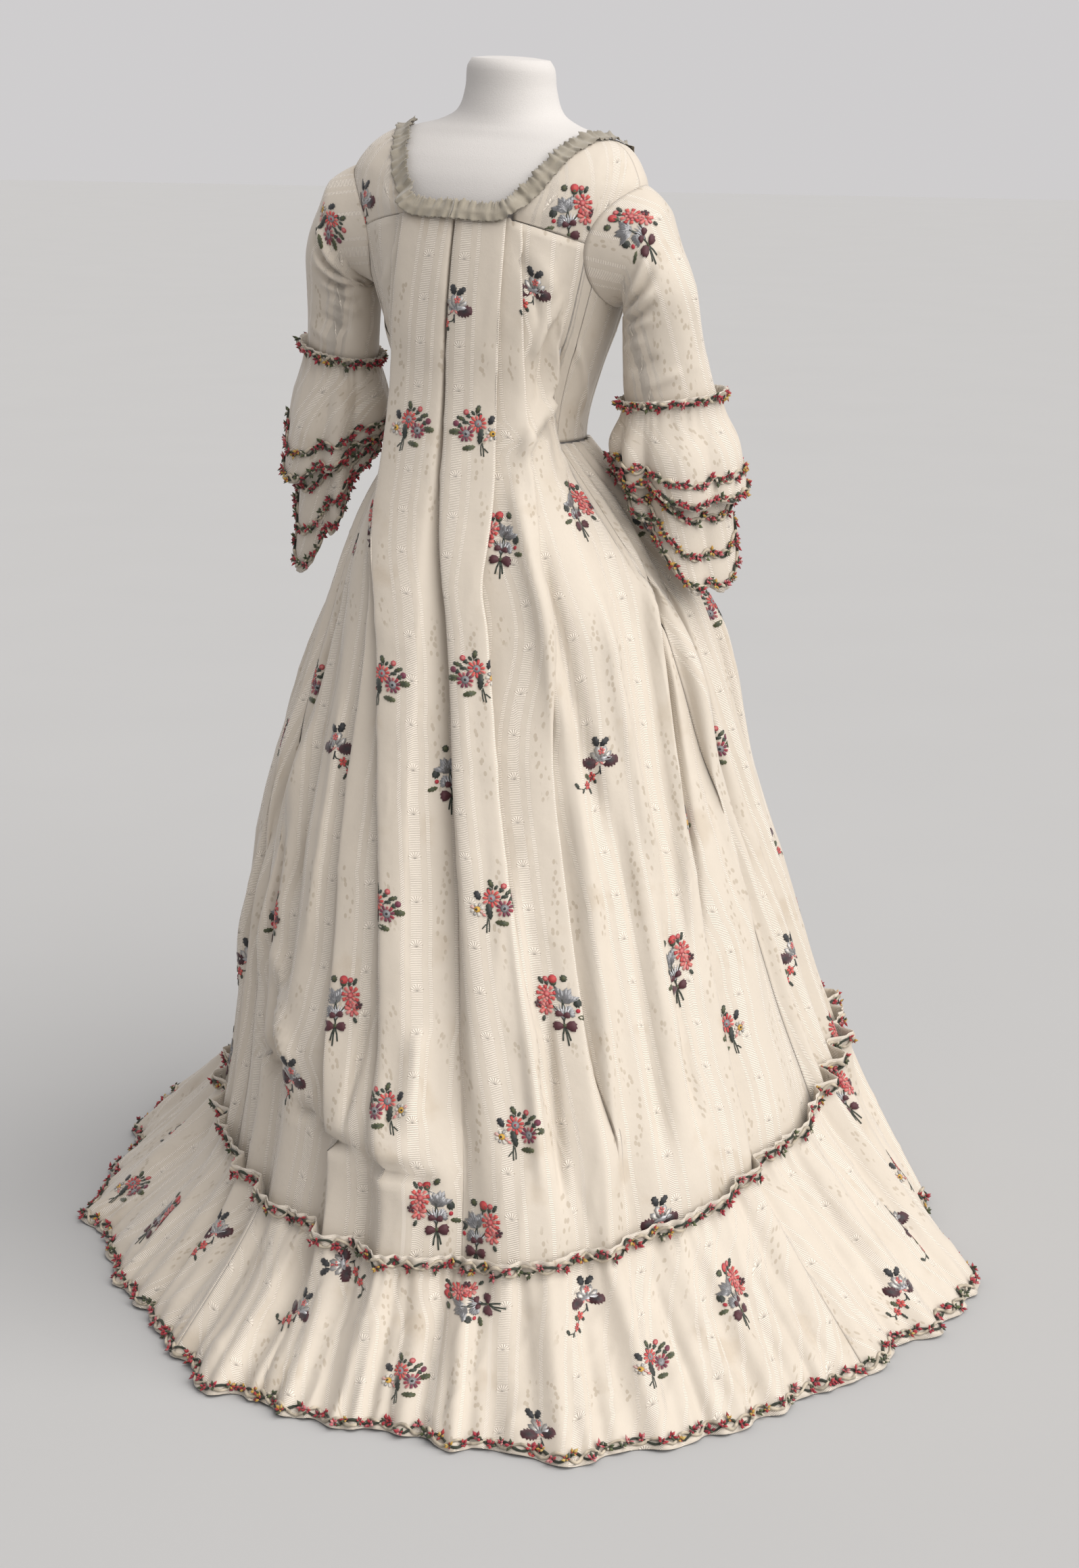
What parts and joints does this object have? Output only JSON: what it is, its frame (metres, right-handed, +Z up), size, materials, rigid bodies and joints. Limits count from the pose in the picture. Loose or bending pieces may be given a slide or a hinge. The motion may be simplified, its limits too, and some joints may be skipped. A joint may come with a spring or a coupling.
{
  "type": "sack-back gown and dress form",
  "caption": "Sack-back gown with two box-pleated back panels, elbow sleeves with cuff flounces and a flounced trained hem, worn on a limbless dress form with a pole and round foot.",
  "frame": {"origin": "on the floor, at the middle of the underside of the dress form's round foot", "axes": "+Z up along the pole; the gown's front faces -Y and its pleated back and train +Y; the wearer's left side is at +X"},
  "size_m": [1.2979, 1.2497, 1.479],
  "materials": {
    "brocaded_silk": "cream silk with self-coloured woven stripes and small brocaded flower sprays, soft sheen",
    "neckline_gauze": "brownish grey gathered silk gauze, matt and slightly see-through",
    "form_jersey": "off-white cotton jersey, matt",
    "stand_metal": "black paint, satin"
  },
  "bodies": {
    "root": {"pleated_back": "brocaded_silk", "side_skirt_left": "brocaded_silk", "side_skirt_right": "brocaded_silk", "front_skirt_left": "brocaded_silk", "front_skirt_right": "brocaded_silk", "back_yoke_left": "brocaded_silk", "back_yoke_right": "brocaded_silk", "shoulder_strap_left": "brocaded_silk", "shoulder_strap_right": "brocaded_silk", "side_body_left": "brocaded_silk", "side_body_right": "brocaded_silk", "bodice_front_left": "brocaded_silk", "bodice_front_right": "brocaded_silk", "sleeve_left": "brocaded_silk", "sleeve_right": "brocaded_silk", "cuff_upper_left": "brocaded_silk", "cuff_upper_right": "brocaded_silk", "cuff_lower_left": "brocaded_silk", "cuff_lower_right": "brocaded_silk", "hem_flounce_back": "brocaded_silk", "hem_flounce_left": "brocaded_silk", "hem_flounce_right": "brocaded_silk", "hem_flounce_front": "brocaded_silk", "neck_ruffle_left": "neckline_gauze", "neck_ruffle_right": "neckline_gauze", "dress_form": "form_jersey", "stand": "stand_metal"}
  },
  "joints": []
}
